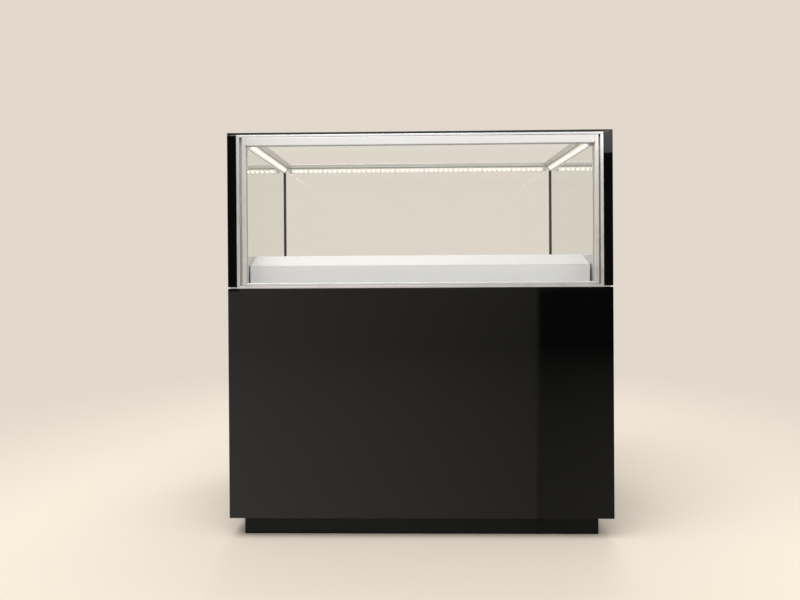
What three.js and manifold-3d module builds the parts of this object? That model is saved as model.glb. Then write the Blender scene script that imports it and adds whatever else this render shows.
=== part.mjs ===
// Pedestal display case: a lit glass vitrine on a gloss black cupboard with a recessed plinth.
// Millimetres. X is the width, the front faces -Y and Z is up. The origin is on the floor,
// under the middle of the case.

import * as THREE from 'three';
import { mergeVertices } from 'three/addons/utils/BufferGeometryUtils.js';
import Module from 'manifold-3d';

const wasm = await Module();
wasm.setup();

// ---- Whole case
const width = 1000;
const depth = 550;
const height = 1060;
const fit = 0.3; // clear gap left where two pieces touch

// ---- Plinth
const plinthHeight = 54;
const plinthRecess = 32;
const plinthBoard = 18;

// ---- Base cupboard
const baseHeight = 600;
const board = 18;
const shelfClear = 258; // clear height under the shelf
const shelfGroove = 6;
const shelfSetback = 15; // from the rear doors to the shelf's rear edge
const rearRailHeight = 60;
const rearRecess = 27; // from the back of the case to the rear doors

// ---- Rear doors
const rearDoorSideGap = 2.5;
const rearDoorEndGap = 2;
const rearDoorMeetingGap = 3;
const rearPinRadius = 2.5;
const rearPinFromEdge = 9;
const rearPinFromFace = 5;
const rearPinInDoor = 14;
const rearPinInBoard = 8;
const knobFromEdge = 38;
const knobHeight = 250; // above the door's lower edge
const knobRadius = 12;
const knobHead = 9;
const knobNeckRadius = 5;
const knobNeck = 10;
const knobStudRadius = 2.5;
const knobStud = 12;

// ---- Cam lock in the right rear door
const lockFromEdge = 58;
const lockFromTop = 24;
const lockCollarRadius = 11;
const lockCollar = 2;
const lockBodyRadius = 8;
const lockBarrelRadius = 6;
const camReach = 36;
const camTail = 8;
const camWidth = 12;
const camThick = 3;
const camBehindDoor = 2.5;
const keySlotWidth = 1.6;
const keySlotLength = 7;
const keySlotDepth = 4;

// ---- Mains inlet with its rocker switch, in the rear rail
const inletX = -300;
const inletFlangeWidth = 64;
const inletFlangeHeight = 34;
const inletFlange = 2.5;
const inletBodyWidth = 54;
const inletBodyHeight = 27;
const inletBodyDepth = 27;
const socketOffset = -14;
const socketWidth = 25;
const socketHeight = 17;
const socketDepth = 15;
const contactWidth = 2;
const contactHeight = 4;
const contactLength = 12;
const contactSpread = 7;
const contactDrop = 3; // from the socket's middle to the two lower contacts' undersides
const earthRise = 5; // the middle contact's height above the other two
const rockerOffset = 16;
const rockerWellWidth = 14;
const rockerWellHeight = 20;
const rockerWellDepth = 14;
const rockerWidth = 13;
const rockerRadius = 8.5;
const rockerTilt = 7; // degrees either way from level
const rockerPivotBehindFlange = 1;

// ---- Light driver and its low-voltage lead
const driverX = -125;
const driverLength = 150;
const driverDepth = 24;
const driverHeight = 30;
const mainsLeadRadius = 3;
const leadRadius = 2;
const leadBend = 9;
const leadDrop = 6; // from the cupboard's top board down to the lead
const leadStub = 24; // from the driver's end to the lead's first bend
const leadFromRearRail = 15;
const leadHoleRadius = 4;

// ---- Metal base plate with its door sill
const basePlate = 3;
const plateRecess = 4;
const sillRise = 3;

// ---- Vitrine walls
const sidePanel = 35.5;
const sidePanelFace = 24; // width that shows beside the metal jamb
const mirrorThick = 5;
const glassThick = 6;
const jambFace = 7.7;
const stopLip = 1.5; // the jamb's lip behind the door's edge
const stopReach = 7.5; // how far the lip stands out from the jamb's face
const headFace = 5.4;
const rearSealWidth = 2.9;
const rearGlassFromBack = 21;
const frontClearance = 2.7; // from the closed door to the mirrors and rails behind it

// ---- Front door
const doorStile = 9;
const doorHeadRail = 20.3;
const doorFootRail = 5.5;
const doorDepth = 25;
const doorHingeGap = 7;
const doorLatchGap = 5;
const doorTopGap = 1;
const doorSillGap = 1.5;
const doorGlassSink = 3; // how far the glass stands in its grooves
const doorGrooveDepth = 3.5;
const doorPinRadius = 2;
const doorPinFromFace = 6;
const doorPinFromEdge = 4;
const doorPinInStile = 12;
const doorPinInFrame = 4.5;
const catchWidth = 12;
const catchHeight = 14;

// ---- Ring of rails under the top glass, and the light channels under it
const frontRailDepth = 12;
const frontRailHeight = 17;
const ringRail = 25;
const ringHeight = 11.7;
const channelLeg = 15;
const channelLip = 1.5;
const stripWidth = 15;
const stripThick = 1.5;
const stripEndClear = 12;
const chipSize = 5;
const chipRise = 0.9;
const chipPitch = 1000 / 60; // sixty chips to the metre

// ---- Display deck
const deckThick = 27;
const deckBevel = 15;
const deckRise = 54; // from the base plate to the deck board
const deckSideGap = 4;
const deckSetback = 54; // from the front of the case to the deck
const riserThick = 15;

// ---- Levels and planes that the sizes above give
const halfWidth = width / 2;
const front = -depth / 2;
const back = depth / 2;
const baseTop = plinthHeight + baseHeight;
const plateTop = baseTop + basePlate;
const sillTop = plateTop + sillRise;
const glassUnderside = height - glassThick;
const wallTop = glassUnderside - fit;
const sideInner = halfWidth - board;
const rearDoorBack = back - rearRecess;
const rearDoorFront = rearDoorBack - board;
const shelfBottom = plinthHeight + board + shelfClear;
const panelInner = halfWidth - sidePanel;
const jambOuter = halfWidth - sidePanelFace - fit;
const jambInner = jambOuter - jambFace;
const doorBack = front + doorDepth;
const mirrorInner = panelInner - fit - mirrorThick;
const ringOuter = mirrorInner - fit;
const innerFront = doorBack + frontClearance;
const rearGlassBack = back - rearGlassFromBack;
const rearGlassFront = rearGlassBack - glassThick;

// ---- Finishes
const finish = (color, roughness, metalness) => (
  new THREE.MeshStandardMaterial({ color, roughness, metalness })
);
const glossBlack = finish(0x0a0a0a, 0.08, 0);
const mattBlack = finish(0x161a17, 0.6, 0);
const aluminium = finish(0xd0d1ce, 0.35, 1);
const steel = finish(0x9ea1a3, 0.3, 1);
const whiteLacquer = finish(0xf6f5f1, 0.3, 0);
const clearGlass = finish(0xdfe9e6, 0.03, 0);
clearGlass.transparent = true;
clearGlass.opacity = 0.3;
const silvered = finish(0xe8ebea, 0.02, 1);
const softSeal = finish(0x141414, 0.8, 0);
const lightStrip = finish(0xfffef0, 0.4, 0);
const blackPlastic = finish(0x1b1c1d, 0.45, 0);
const greyCase = finish(0xd9dad8, 0.5, 0);

// ---- Shapes
// A box from its lowest to its highest place on each axis.
function brick(x, y, z) {
  const geometry = new THREE.BoxGeometry(x[1] - x[0], y[1] - y[0], z[1] - z[0]);
  geometry.translate((x[0] + x[1]) / 2, (y[0] + y[1]) / 2, (z[0] + z[1]) / 2);
  return geometry;
}

// A rod along Z, from z[0] to z[1].
function rodZ(radius, x, y, z, sides = 16) {
  const geometry = new THREE.CylinderGeometry(radius, radius, z[1] - z[0], sides);
  geometry.rotateX(Math.PI / 2);
  geometry.translate(x, y, (z[0] + z[1]) / 2);
  return geometry;
}

// A rod along Y, from y[0] to y[1].
function rodY(radius, x, y, z, sides = 24) {
  const geometry = new THREE.CylinderGeometry(radius, radius, y[1] - y[0], sides);
  geometry.translate(x, (y[0] + y[1]) / 2, z);
  return geometry;
}

// A rod along X, from x[0] to x[1].
function rodX(radius, x, y, z, sides = 12) {
  const geometry = new THREE.CylinderGeometry(radius, radius, x[1] - x[0], sides);
  geometry.rotateZ(Math.PI / 2);
  geometry.translate((x[0] + x[1]) / 2, y, z);
  return geometry;
}

// An outline in the XZ plane, carried along Y from y[0] to y[1].
function alongY(points, y) {
  const outline = new THREE.Shape(points.map(([x, z]) => new THREE.Vector2(x, z)));
  const geometry = new THREE.ExtrudeGeometry(outline, { depth: y[1] - y[0], bevelEnabled: false });
  geometry.rotateX(Math.PI / 2);
  geometry.translate(0, y[1], 0);
  return geometry;
}

// An outline in the YZ plane, carried along X from x[0] to x[1].
function alongX(points, x) {
  const outline = new THREE.Shape(points.map(([y, z]) => new THREE.Vector2(y, z)));
  const geometry = new THREE.ExtrudeGeometry(outline, { depth: x[1] - x[0], bevelEnabled: false });
  const turn = new THREE.Matrix4().makeBasis(
    new THREE.Vector3(0, 1, 0),
    new THREE.Vector3(0, 0, 1),
    new THREE.Vector3(1, 0, 0),
  );
  geometry.applyMatrix4(turn);
  geometry.translate(x[0], 0, 0);
  return geometry;
}

function toSolid(geometry) {
  const bare = geometry.clone();
  bare.deleteAttribute('normal');
  bare.deleteAttribute('uv');
  const merged = mergeVertices(bare, 1e-4);
  return new wasm.Manifold(new wasm.Mesh({
    numProp: 3,
    vertProperties: merged.attributes.position.array,
    triVerts: new Uint32Array(merged.index.array),
  }));
}

function toGeometry(solid) {
  const result = solid.getMesh();
  const geometry = new THREE.BufferGeometry();
  geometry.setAttribute('position', new THREE.BufferAttribute(result.vertProperties, 3));
  geometry.setIndex(new THREE.BufferAttribute(result.triVerts, 1));
  return geometry;
}

function join(...shapes) {
  const solids = shapes.map(toSolid);
  return toGeometry(solids.reduce((whole, next) => whole.add(next)));
}

function cut(shape, ...tools) {
  const solids = tools.map(toSolid);
  return toGeometry(solids.reduce((whole, tool) => whole.subtract(tool), toSolid(shape)));
}

// A named piece whose geometry is centred on itself and whose place is its position.
function piece(name, geometry, material) {
  const shape = geometry.index ? geometry.toNonIndexed() : geometry;
  shape.computeBoundingBox();
  const centre = shape.boundingBox.getCenter(new THREE.Vector3());
  shape.translate(-centre.x, -centre.y, -centre.z);
  shape.computeVertexNormals();
  const mesh = new THREE.Mesh(shape, material);
  mesh.name = name;
  mesh.position.copy(centre);
  return mesh;
}

// The two sides of the case: a name's ending and the sign of X.
const sides = [
  ['left', -1],
  ['right', 1],
];

// A span on X, given for the right side and mirrored for the left.
function spanX(sign, inner, outer) {
  return sign > 0 ? [inner, outer] : [-outer, -inner];
}

function group(...children) {
  const result = new THREE.Group();
  result.add(...children.flat());
  return result;
}

// ---- Plinth: four boards set back under the cupboard
function makePlinth() {
  const outerX = halfWidth - plinthRecess;
  const outerY = back - plinthRecess;
  const innerY = outerY - plinthBoard;
  const z = [0, plinthHeight - fit];
  const ends = sides.map(([side, sign]) => {
    const x = spanX(sign, outerX - plinthBoard, outerX);
    return piece(`plinth_${side}`, brick(x, [-innerY + fit, innerY - fit], z), mattBlack);
  });
  return group(
    piece('plinth_front', brick([-outerX, outerX], [-outerY, -innerY], z), mattBlack),
    piece('plinth_rear', brick([-outerX, outerX], [innerY, outerY], z), mattBlack),
    ends,
  );
}

// ---- Base cupboard
const hingeX = sideInner - rearDoorSideGap - rearPinFromEdge;
const hingeY = rearDoorBack - rearPinFromFace;
const bottomTop = plinthHeight + board;
const topUnderside = baseTop - board;
const railUnderside = topUnderside - rearRailHeight;
const rearDoorBottom = bottomTop + rearDoorEndGap;
const rearDoorTop = railUnderside - rearDoorEndGap;
const railMiddle = topUnderside - rearRailHeight / 2;
const leadY = rearDoorFront - leadFromRearRail;
const leadX = -(panelInner + leadBend - leadRadius * 2);

function rearPinBores(z) {
  return sides.map(([, sign]) => rodZ(rearPinRadius + fit, sign * hingeX, hingeY, z));
}

function makeCupboard() {
  const cupboardFront = front + board + fit;
  const acrossX = [-sideInner + fit, sideInner - fit];
  const deepY = [cupboardFront, back];
  const shelfBack = rearDoorFront - shelfSetback;
  const shelfX = sideInner + shelfGroove - fit;

  const bottom = cut(
    brick(acrossX, deepY, [plinthHeight, bottomTop]),
    ...rearPinBores([bottomTop - rearPinInBoard - fit, bottomTop + 1]),
  );
  const top = cut(
    brick(acrossX, deepY, [topUnderside, baseTop - fit]),
    rodZ(leadHoleRadius, leadX, leadY, [topUnderside - 1, baseTop + 1]),
  );
  const rail = cut(
    brick(acrossX, [rearDoorFront, rearDoorBack], [railUnderside, topUnderside - fit]),
    ...rearPinBores([railUnderside - 1, railUnderside + rearPinInBoard + fit]),
    brick(
      [inletX - inletBodyWidth / 2 - fit, inletX + inletBodyWidth / 2 + fit],
      [rearDoorFront - 1, rearDoorBack + 1],
      [railMiddle - inletBodyHeight / 2 - fit, railMiddle + inletBodyHeight / 2 + fit],
    ),
  );
  const walls = sides.map(([side, sign]) => {
    const wall = brick(spanX(sign, sideInner, halfWidth), deepY, [plinthHeight, baseTop - fit]);
    const groove = brick(
      spanX(sign, sideInner - 1, sideInner + shelfGroove),
      [cupboardFront - 1, shelfBack + fit],
      [shelfBottom - fit, shelfBottom + board + fit],
    );
    return piece(`base_side_${side}`, cut(wall, groove), glossBlack);
  });
  const face = brick([-halfWidth, halfWidth], [front, front + board], [plinthHeight, baseTop - fit]);
  const shelf = brick([-shelfX, shelfX], [cupboardFront, shelfBack], [shelfBottom, shelfBottom + board]);
  return group(
    piece('base_bottom', bottom, glossBlack),
    piece('base_top', top, glossBlack),
    piece('base_rear_rail', rail, glossBlack),
    piece('base_front_panel', face, glossBlack),
    piece('base_shelf', shelf, mattBlack),
    walls,
  );
}

// ---- Rear doors, each turning on two pins at its outer edge
function lockPlace() {
  return [rearDoorMeetingGap / 2 + lockFromEdge, rearDoorTop - lockFromTop];
}

function makeKnob(side, sign) {
  const x = sign * (rearDoorMeetingGap / 2 + knobFromEdge);
  const z = rearDoorBottom + knobHeight;
  const face = rearDoorBack + fit;
  const neckEnd = face + knobNeck;
  const profile = [
    [0, rearDoorBack - knobStud],
    [knobStudRadius, rearDoorBack - knobStud],
    [knobStudRadius, face],
    [knobNeckRadius + 2, face],
    [knobNeckRadius, face + 2],
    [knobNeckRadius, neckEnd - 2],
    [knobRadius, neckEnd + 1],
    [knobRadius, neckEnd + knobHead - 2],
    [knobRadius - 2, neckEnd + knobHead],
    [0, neckEnd + knobHead],
  ];
  const turned = new THREE.LatheGeometry(profile.map(([r, y]) => new THREE.Vector2(r, y)), 24);
  turned.translate(x, 0, z);
  return piece(`knob_${side}`, turned, steel);
}

function makeRearDoor(side, sign) {
  const shut = spanX(sign, rearDoorMeetingGap / 2, sideInner - rearDoorSideGap);
  const slab = brick(shut, [rearDoorFront, rearDoorBack], [rearDoorBottom, rearDoorTop]);
  const knobX = sign * (rearDoorMeetingGap / 2 + knobFromEdge);
  const stud = [rearDoorBack - knobStud - fit, rearDoorBack + 1];
  const bores = [
    rodZ(rearPinRadius + fit, sign * hingeX, hingeY, [
      rearDoorBottom - 1,
      rearDoorBottom + rearPinInDoor + fit,
    ]),
    rodZ(rearPinRadius + fit, sign * hingeX, hingeY, [
      rearDoorTop - rearPinInDoor - fit,
      rearDoorTop + 1,
    ]),
    rodY(knobStudRadius + fit, knobX, stud, rearDoorBottom + knobHeight),
  ];
  if (sign > 0) {
    const [lockX, lockZ] = lockPlace();
    bores.push(rodY(lockBodyRadius + fit, lockX, [rearDoorFront - 1, rearDoorBack + 1], lockZ));
  }
  const lowerPin = [bottomTop - rearPinInBoard, rearDoorBottom + rearPinInDoor];
  const upperPin = [rearDoorTop - rearPinInDoor, railUnderside + rearPinInBoard];
  return group(
    piece(`rear_door_${side}`, cut(slab, ...bores), glossBlack),
    piece(`rear_pin_${side}_lower`, rodZ(rearPinRadius, sign * hingeX, hingeY, lowerPin), steel),
    piece(`rear_pin_${side}_upper`, rodZ(rearPinRadius, sign * hingeX, hingeY, upperPin), steel),
    makeKnob(side, sign),
  );
}

// The housing is a flanged tube. The barrel and its cam turn in it as one piece.
function makeLock() {
  const [x, z] = lockPlace();
  const collarFront = rearDoorBack + fit;
  const collarBack = collarFront + lockCollar;
  const housing = cut(
    join(
      rodY(lockCollarRadius, x, [collarFront, collarBack], z),
      rodY(lockBodyRadius, x, [rearDoorFront, collarFront + 1], z),
    ),
    rodY(lockBarrelRadius + fit, x, [rearDoorFront - 1, collarBack + 1], z),
  );
  const camBack = rearDoorFront - camBehindDoor;
  const cam = brick(
    [x - camTail, x + camReach],
    [camBack - camThick, camBack],
    [z - camWidth / 2, z + camWidth / 2],
  );
  const barrel = rodY(lockBarrelRadius, x, [camBack - 1, collarBack - fit], z);
  const keySlot = brick(
    [x - keySlotLength / 2, x + keySlotLength / 2],
    [collarBack - fit - keySlotDepth, collarBack + 1],
    [z - keySlotWidth / 2, z + keySlotWidth / 2],
  );
  return group(
    piece('lock_housing', housing, steel),
    piece('lock_cam', cut(join(cam, barrel), keySlot), steel),
  );
}

// ---- Mains inlet, rocker switch and light driver on the rear rail
function makeInlet() {
  const flangeFront = rearDoorBack + fit;
  const flangeBack = flangeFront + inletFlange;
  const socketX = inletX + socketOffset;
  const rockerX = inletX + rockerOffset;
  const socketFloor = flangeBack - socketDepth;
  const contactZ = [railMiddle - contactDrop, railMiddle - contactDrop + contactHeight];
  const outside = join(
    brick(
      [inletX - inletFlangeWidth / 2, inletX + inletFlangeWidth / 2],
      [flangeFront, flangeBack],
      [railMiddle - inletFlangeHeight / 2, railMiddle + inletFlangeHeight / 2],
    ),
    brick(
      [inletX - inletBodyWidth / 2, inletX + inletBodyWidth / 2],
      [flangeFront - inletBodyDepth, flangeFront + 1],
      [railMiddle - inletBodyHeight / 2, railMiddle + inletBodyHeight / 2],
    ),
  );
  const hollow = cut(
    outside,
    brick(
      [socketX - socketWidth / 2, socketX + socketWidth / 2],
      [socketFloor, flangeBack + 1],
      [railMiddle - socketHeight / 2, railMiddle + socketHeight / 2],
    ),
    brick(
      [rockerX - rockerWellWidth / 2, rockerX + rockerWellWidth / 2],
      [flangeBack - rockerWellDepth, flangeBack + 1],
      [railMiddle - rockerWellHeight / 2, railMiddle + rockerWellHeight / 2],
    ),
  );
  const contact = (x, rise) => brick(
    [x - contactWidth / 2, x + contactWidth / 2],
    [socketFloor - 1, socketFloor + contactLength],
    [contactZ[0] + rise, contactZ[1] + rise],
  );
  return piece('power_inlet', join(
    hollow,
    contact(socketX - contactSpread, 0),
    contact(socketX, earthRise),
    contact(socketX + contactSpread, 0),
  ), blackPlastic);
}

// The rocker is a half drum with a shallow V for its face, pressed in at its lower end.
function makeRocker() {
  const pivotY = rearDoorBack + fit + inletFlange - rockerPivotBehindFlange;
  const rise = Math.tan(THREE.MathUtils.degToRad(rockerTilt)) * rockerRadius;
  const points = [];
  const arcSteps = 12;
  for (let i = 0; i <= arcSteps; i += 1) {
    const angle = Math.PI / 2 + (Math.PI * i) / arcSteps;
    points.push([Math.cos(angle) * rockerRadius, Math.sin(angle) * rockerRadius]);
  }
  points.push([rise * 2, -rockerRadius + 0.6]);
  points.push([rise, 0]);
  points.push([rise * 2, rockerRadius - 0.6]);
  const rocker = piece('power_rocker', alongX(points, [-rockerWidth / 2, rockerWidth / 2]), blackPlastic);
  const pivot = new THREE.Group();
  pivot.position.set(inletX + rockerOffset, pivotY, railMiddle);
  pivot.rotation.x = THREE.MathUtils.degToRad(-rockerTilt);
  pivot.add(rocker);
  return pivot;
}

function makeDriver() {
  const x = [driverX - driverLength / 2, driverX + driverLength / 2];
  const y = [rearDoorFront - fit - driverDepth, rearDoorFront - fit];
  const inletSide = inletX + inletBodyWidth / 2 + fit;
  const leadPlaneY = rearDoorFront - fit - mainsLeadRadius - 1;
  const box = brick(x, y, [railMiddle - driverHeight / 2, railMiddle + driverHeight / 2]);
  const mainsLead = rodX(mainsLeadRadius, [inletSide, x[0] + 1], leadPlaneY, railMiddle);
  return piece('led_driver', join(box, mainsLead), greyCase);
}

// The lead leaves the driver's end, climbs to the top board, runs to the left wall, rises
// in that wall's groove and turns in through the mirror to the rail that carries the lights.
function makeLead() {
  const driverEnd = driverX + driverLength / 2 + fit;
  const runZ = topUnderside - leadDrop;
  const outX = driverEnd + leadStub;
  const driverY = rearDoorFront - fit - driverDepth / 2;
  const topZ = glassUnderside - fit - ringHeight / 2;
  const corners = [
    [driverEnd, driverY, railMiddle],
    [outX, driverY, railMiddle],
    [outX, driverY, runZ],
    [outX, leadY - leadBend * 2, runZ],
    [leadX, leadY - leadBend * 2, runZ],
    [leadX, leadY, runZ],
    [leadX, leadY, topZ],
    [-ringOuter + leadBend, leadY, topZ],
  ].map((place) => new THREE.Vector3(...place));
  const route = new THREE.CurvePath();
  let from = corners[0];
  for (let i = 1; i < corners.length - 1; i += 1) {
    const corner = corners[i];
    const into = corner.clone().sub(corners[i - 1]).normalize();
    const out = corners[i + 1].clone().sub(corner).normalize();
    const bendStart = corner.clone().addScaledVector(into, -leadBend);
    const bendEnd = corner.clone().addScaledVector(out, leadBend);
    route.add(new THREE.LineCurve3(from, bendStart));
    route.add(new THREE.QuadraticBezierCurve3(bendStart, corner, bendEnd));
    from = bendEnd;
  }
  route.add(new THREE.LineCurve3(from, corners.at(-1)));
  const section = new THREE.Shape();
  section.absarc(0, 0, leadRadius, 0, Math.PI * 2, false);
  const leadGeometry = new THREE.ExtrudeGeometry(section, {
    steps: 150,
    curveSegments: 4,
    extrudePath: route,
  });
  return piece('led_lead', leadGeometry, softSeal);
}

// ---- Vitrine walls, on a metal plate whose front edge is the door's sill
function doorPinX() {
  return -(jambInner - doorHingeGap - doorPinFromEdge);
}

function doorPinBore(z) {
  return rodZ(doorPinRadius + fit, doorPinX(), front + doorPinFromFace, z);
}

function makePlate() {
  const outX = halfWidth - plateRecess;
  const outY = back - plateRecess;
  const plate = join(
    brick([-outX, outX], [-outY, outY], [baseTop, plateTop]),
    brick([-jambOuter, jambOuter], [front, doorBack], [baseTop, sillTop]),
  );
  return piece('base_plate', cut(
    plate,
    doorPinBore([sillTop - doorPinInFrame - fit, sillTop + 1]),
    rodZ(leadHoleRadius, leadX, leadY, [baseTop - 1, plateTop + 1]),
  ), aluminium);
}

function makeWalls() {
  const wallZ = [plateTop + fit, wallTop];
  const slotMiddle = glassUnderside - fit - ringHeight / 2;
  const walls = sides.map(([side, sign]) => {
    const panelTools = [
      brick(spanX(sign, panelInner - 1, jambOuter + fit), [front - 1, innerFront], [baseTop, height]),
    ];
    const mirrorTools = [];
    if (sign < 0) {
      const grooveX = leadX - leadRadius - 1;
      panelTools.push(brick([grooveX, 1 - panelInner], [leadY - 4, leadY + 4], [baseTop, height]));
      mirrorTools.push(brick(
        [-panelInner - 1, 1 - mirrorInner],
        [leadY - leadRadius - 1, leadY + leadRadius + 1],
        [slotMiddle - leadBend - leadRadius, slotMiddle + leadRadius + 1],
      ));
    }
    const panel = brick(spanX(sign, panelInner, halfWidth), [front, back], wallZ);
    const mirror = brick(spanX(sign, mirrorInner, panelInner - fit), [innerFront, rearGlassBack], wallZ);
    const jambZ = [sillTop + fit, wallTop - headFace - fit];
    const jambBack = innerFront - fit;
    const jamb = join(
      brick(spanX(sign, jambInner, jambOuter), [front, jambBack], jambZ),
      brick(spanX(sign, jambInner - stopReach, jambInner + 1), [jambBack - stopLip, jambBack], jambZ),
    );
    return [
      piece(`side_panel_${side}`, cut(panel, ...panelTools), glossBlack),
      piece(`mirror_${side}`, mirrorTools.length ? cut(mirror, ...mirrorTools) : mirror, silvered),
      piece(`jamb_${side}`, jamb, aluminium),
      piece(
        `rear_seal_${side}`,
        brick(spanX(sign, ringOuter - rearSealWidth, ringOuter), [rearGlassFront, rearGlassBack], wallZ),
        softSeal,
      ),
    ];
  });
  const headZ = [wallTop - headFace, wallTop];
  const head = cut(
    brick([-jambOuter, jambOuter], [front, doorBack - fit], headZ),
    doorPinBore([headZ[0] - 1, headZ[0] + doorPinInFrame + fit]),
  );
  const paneX = ringOuter - rearSealWidth - fit;
  return group(
    walls.flat(),
    piece('head_jamb', head, aluminium),
    piece('rear_glass', brick([-paneX, paneX], [rearGlassFront, rearGlassBack], wallZ), clearGlass),
    piece('top_glass', brick([-halfWidth, halfWidth], [front, back], [glassUnderside, height]), clearGlass),
  );
}

// ---- Front door: a metal frame with a taller head rail, on a pin at each end of its left stile
function makeFrontDoor() {
  const doorX = [-(jambInner - doorHingeGap), jambInner - doorLatchGap];
  const doorZ = [sillTop + doorSillGap, wallTop - headFace - doorTopGap];
  const y = [front, doorBack];
  const glassY = [(front + doorBack - glassThick) / 2, (front + doorBack + glassThick) / 2];
  const paneX = [doorX[0] + doorStile - doorGlassSink, doorX[1] - doorStile + doorGlassSink];
  const paneZ = [doorZ[0] + doorFootRail - doorGlassSink, doorZ[1] - doorHeadRail + doorGlassSink];
  const spare = doorGrooveDepth - doorGlassSink;
  const groove = brick(
    [paneX[0] - spare, paneX[1] + spare],
    [glassY[0] - fit, glassY[1] + fit],
    [paneZ[0] - spare, paneZ[1] + spare],
  );
  const bores = [
    doorPinBore([doorZ[0] - 1, doorZ[0] + doorPinInStile + fit]),
    doorPinBore([doorZ[1] - doorPinInStile - fit, doorZ[1] + 1]),
  ];
  const member = (name, x, z) => piece(name, cut(brick(x, y, z), groove, ...bores), aluminium);
  const railX = [doorX[0] + doorStile + fit, doorX[1] - doorStile - fit];
  const pinY = front + doorPinFromFace;
  const lowerPin = [sillTop - doorPinInFrame, doorZ[0] + doorPinInStile];
  const upperPin = [doorZ[1] - doorPinInStile, wallTop - headFace + doorPinInFrame];
  return group(
    member('door_stile_left', [doorX[0], doorX[0] + doorStile], doorZ),
    member('door_stile_right', [doorX[1] - doorStile, doorX[1]], doorZ),
    member('door_rail_lower', railX, [doorZ[0], doorZ[0] + doorFootRail]),
    member('door_rail_upper', railX, [doorZ[1] - doorHeadRail, doorZ[1]]),
    piece('door_glass', brick(paneX, glassY, paneZ), clearGlass),
    piece('door_pin_lower', rodZ(doorPinRadius, doorPinX(), pinY, lowerPin), steel),
    piece('door_pin_upper', rodZ(doorPinRadius, doorPinX(), pinY, upperPin), steel),
  );
}

// ---- Rails under the top glass and the light channels below them
function makeRing() {
  const ringZ = [wallTop - ringHeight, wallTop];
  const frontY = [innerFront, innerFront + frontRailDepth];
  const rearY = [rearGlassFront - fit - ringRail, rearGlassFront - fit];
  const frontZ = [wallTop - frontRailHeight, wallTop];
  const leadSpan = [leadY - leadRadius - 1, leadY + leadRadius + 1];
  const sideRails = sides.map(([side, sign]) => {
    const railX = spanX(sign, ringOuter - ringRail, ringOuter);
    const rail = brick(railX, [frontY[1] + fit, rearY[0] - fit], ringZ);
    const bore = brick([-ringOuter - 1, -ringOuter + leadBend + fit], leadSpan, [
      (ringZ[0] + ringZ[1]) / 2 - leadRadius - 1,
      (ringZ[0] + ringZ[1]) / 2 + leadRadius + 1,
    ]);
    return piece(`top_rail_${side}`, sign < 0 ? cut(rail, bore) : rail, aluminium);
  });
  const catchX = [ringOuter - catchWidth - fit, ringOuter - fit];
  const catchZ = [frontZ[0] - fit - catchHeight, frontZ[0] - fit];
  return group(
    piece('top_rail_front', brick([-ringOuter, ringOuter], frontY, frontZ), aluminium),
    piece('top_rail_rear', brick([-ringOuter, ringOuter], rearY, ringZ), aluminium),
    sideRails,
    piece('door_catch', brick(catchX, [doorBack + fit, frontY[1]], catchZ), steel),
  );
}

// The channel's section, from its corner: along one leg, across the slanted face, up the other.
function channelOutline(cornerU, cornerV, toward) {
  return [
    [cornerU, cornerV],
    [cornerU, cornerV - channelLeg],
    [cornerU + toward * channelLip, cornerV - channelLeg],
    [cornerU + toward * channelLeg, cornerV - channelLip],
    [cornerU + toward * channelLeg, cornerV],
  ];
}

// A strip lies flat with its chips up and its length along Y, centred on the origin.
function stripGeometry(length) {
  const tape = brick([-stripWidth / 2, stripWidth / 2], [-length / 2, length / 2], [0, stripThick]);
  const count = Math.floor(length / chipPitch);
  const chips = [];
  for (let i = 0; i < count; i += 1) {
    const y = (i - (count - 1) / 2) * chipPitch;
    chips.push(brick(
      [-chipSize / 2, chipSize / 2],
      [y - chipSize / 2, y + chipSize / 2],
      [stripThick / 2, stripThick + chipRise],
    ));
  }
  return join(tape, ...chips);
}

// The slanted face's middle is this far from the channel's corner on both axes.
const slantMiddle = (channelLeg + channelLip) / 2;

function placedStrip(name, length, place, turns) {
  const geometry = stripGeometry(length);
  const strip = new THREE.Mesh(geometry.toNonIndexed(), lightStrip);
  strip.geometry.computeVertexNormals();
  strip.name = name;
  strip.position.set(0, 0, fit);
  const holder = new THREE.Group();
  holder.position.set(...place);
  holder.rotation.set(...turns, 'ZYX');
  holder.add(strip);
  return holder;
}

function makeLights() {
  const channelTop = wallTop - ringHeight - fit;
  const startY = innerFront + frontRailDepth + fit;
  const endY = rearGlassFront - fit;
  const sideY = [startY, endY];
  const sideLength = endY - startY - channelLeg - stripEndClear * 2;
  const sideMiddle = (startY + endY - channelLeg) / 2;
  const quarter = Math.PI / 4;
  const sideParts = sides.map(([side, sign]) => [
    piece(
      `led_channel_${side}`,
      alongY(channelOutline(sign * ringOuter, channelTop, -sign), sideY),
      aluminium,
    ),
    placedStrip(
      `led_strip_${side}`,
      sideLength,
      [sign * (ringOuter - slantMiddle), sideMiddle, channelTop - slantMiddle],
      [0, Math.PI + sign * quarter, 0],
    ),
  ]);
  const rearX = ringOuter - channelLeg - fit;
  const rearOutline = channelOutline(endY, channelTop, -1);
  return group(
    sideParts.flat(),
    piece('led_channel_rear', alongX(rearOutline, [-rearX, rearX]), aluminium),
    placedStrip(
      'led_strip_rear',
      (rearX - stripEndClear) * 2,
      [0, endY - slantMiddle, channelTop - slantMiddle],
      [0, Math.PI - quarter, -Math.PI / 2],
    ),
  );
}

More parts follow.
